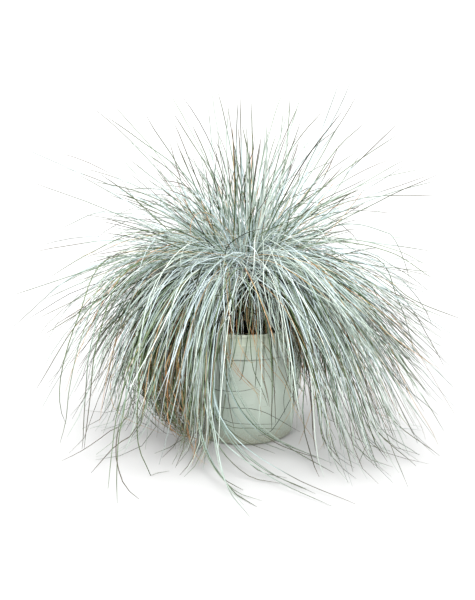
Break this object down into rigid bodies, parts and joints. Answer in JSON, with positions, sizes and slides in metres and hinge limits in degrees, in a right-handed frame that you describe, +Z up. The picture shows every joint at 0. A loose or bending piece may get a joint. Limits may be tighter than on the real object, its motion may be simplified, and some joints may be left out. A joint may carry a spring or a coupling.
{
  "type": "potted blue fescue clump",
  "caption": "Tapered plastic pot with a banded rim, filled with soil, and a fountain-shaped clump of thin blue-grey grass leaves that arch over the rim down to the ground.",
  "frame": {"origin": "middle of the pot's underside, on the ground", "axes": "+Z up along the pot's axis, -Y towards the front where the leaves part, +X to the viewer's right"},
  "size_m": [0.4376, 0.4369, 0.3411],
  "materials": {
    "pot": "satin",
    "potting_soil": "matte",
    "crown": "matte",
    "leaf": "satin",
    "dry_leaf": "matte"
  },
  "bodies": {
    "root": {"crown": "crown", "pot": "pot", "potting_soil": "potting_soil", "tuft_arching_01": "leaf", "tuft_arching_02": "leaf", "tuft_arching_03": "leaf", "tuft_arching_04": "leaf", "tuft_arching_05": "leaf", "tuft_arching_06": "leaf", "tuft_arching_07": "leaf", "tuft_dry_01": "dry_leaf", "tuft_dry_02": "dry_leaf", "tuft_dry_03": "dry_leaf", "tuft_dry_04": "dry_leaf", "tuft_dry_05": "dry_leaf", "tuft_falling_01": "leaf", "tuft_falling_02": "leaf", "tuft_falling_03": "leaf", "tuft_falling_04": "leaf", "tuft_falling_05": "leaf", "tuft_falling_06": "leaf", "tuft_falling_07": "leaf", "tuft_hanging_lock": "leaf", "tuft_spreading_01": "leaf", "tuft_spreading_02": "leaf", "tuft_spreading_03": "leaf", "tuft_spreading_04": "leaf", "tuft_spreading_05": "leaf", "tuft_spreading_06": "leaf", "tuft_spreading_07": "leaf", "tuft_spreading_08": "leaf", "tuft_spreading_09": "leaf", "tuft_spreading_10": "leaf", "tuft_spreading_11": "leaf", "tuft_trailing_01": "leaf", "tuft_trailing_02": "leaf", "tuft_trailing_03": "leaf", "tuft_trailing_04": "leaf", "tuft_trailing_05": "leaf", "tuft_trailing_06": "leaf", "tuft_trailing_07": "leaf", "tuft_trailing_08": "leaf", "tuft_trailing_09": "leaf", "tuft_trailing_10": "leaf", "tuft_trailing_11": "leaf", "tuft_trailing_12": "leaf", "tuft_trailing_13": "leaf", "tuft_upright_01": "leaf", "tuft_upright_02": "leaf", "tuft_upright_03": "leaf", "tuft_upright_04": "leaf", "tuft_upright_05": "leaf", "tuft_upright_06": "leaf", "tuft_upright_07": "leaf", "tuft_upright_top": "leaf"}
  },
  "joints": []
}
